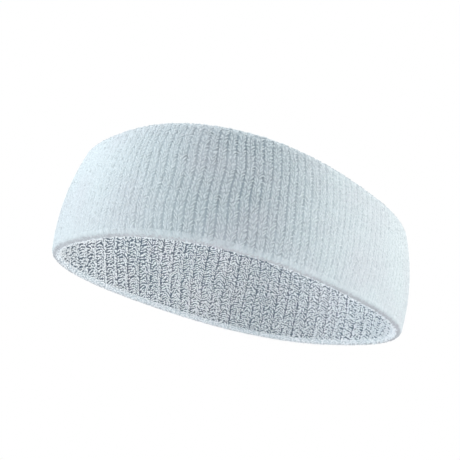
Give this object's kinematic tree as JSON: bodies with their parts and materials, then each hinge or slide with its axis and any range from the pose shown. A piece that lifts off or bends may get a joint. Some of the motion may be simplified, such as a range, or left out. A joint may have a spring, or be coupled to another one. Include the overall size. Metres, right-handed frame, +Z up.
{
  "type": "sports headband",
  "caption": "Wide terry sports headband: a knitted tube folded double into a soft ring that grips the head and soaks up sweat in racket sports.",
  "frame": {"origin": "centre of the ring on the surface it stands on, below its lower rim", "axes": "+Z up through the ring, +X from back to front along the longer way of the oval, +Y to the left side"},
  "size_m": [0.1956, 0.1616, 0.055],
  "materials": {
    "outer_terry": "matt ribbed cotton terry, cool white",
    "inner_terry": "matt coarse ribbed cotton terry, cool white",
    "rim_terry": "matt dense cotton terry, cool white",
    "ground_knit": "matt fine jersey of polyamide and cotton, off-white",
    "covered_rubber": "rubber core wound with white polyamide yarn, slight sheen",
    "linking_thread": "twisted white cotton thread"
  },
  "bodies": {
    "root": {"outer_terry_pile": "outer_terry", "outer_ground_knit": "ground_knit", "inner_ground_knit": "ground_knit", "inner_terry_pile": "inner_terry", "lower_turned_rim": "rim_terry", "upper_turned_rim": "rim_terry", "outer_elastic_yarn": "covered_rubber", "inner_elastic_yarn": "covered_rubber", "linking_seam_thread": "linking_thread"}
  },
  "joints": []
}
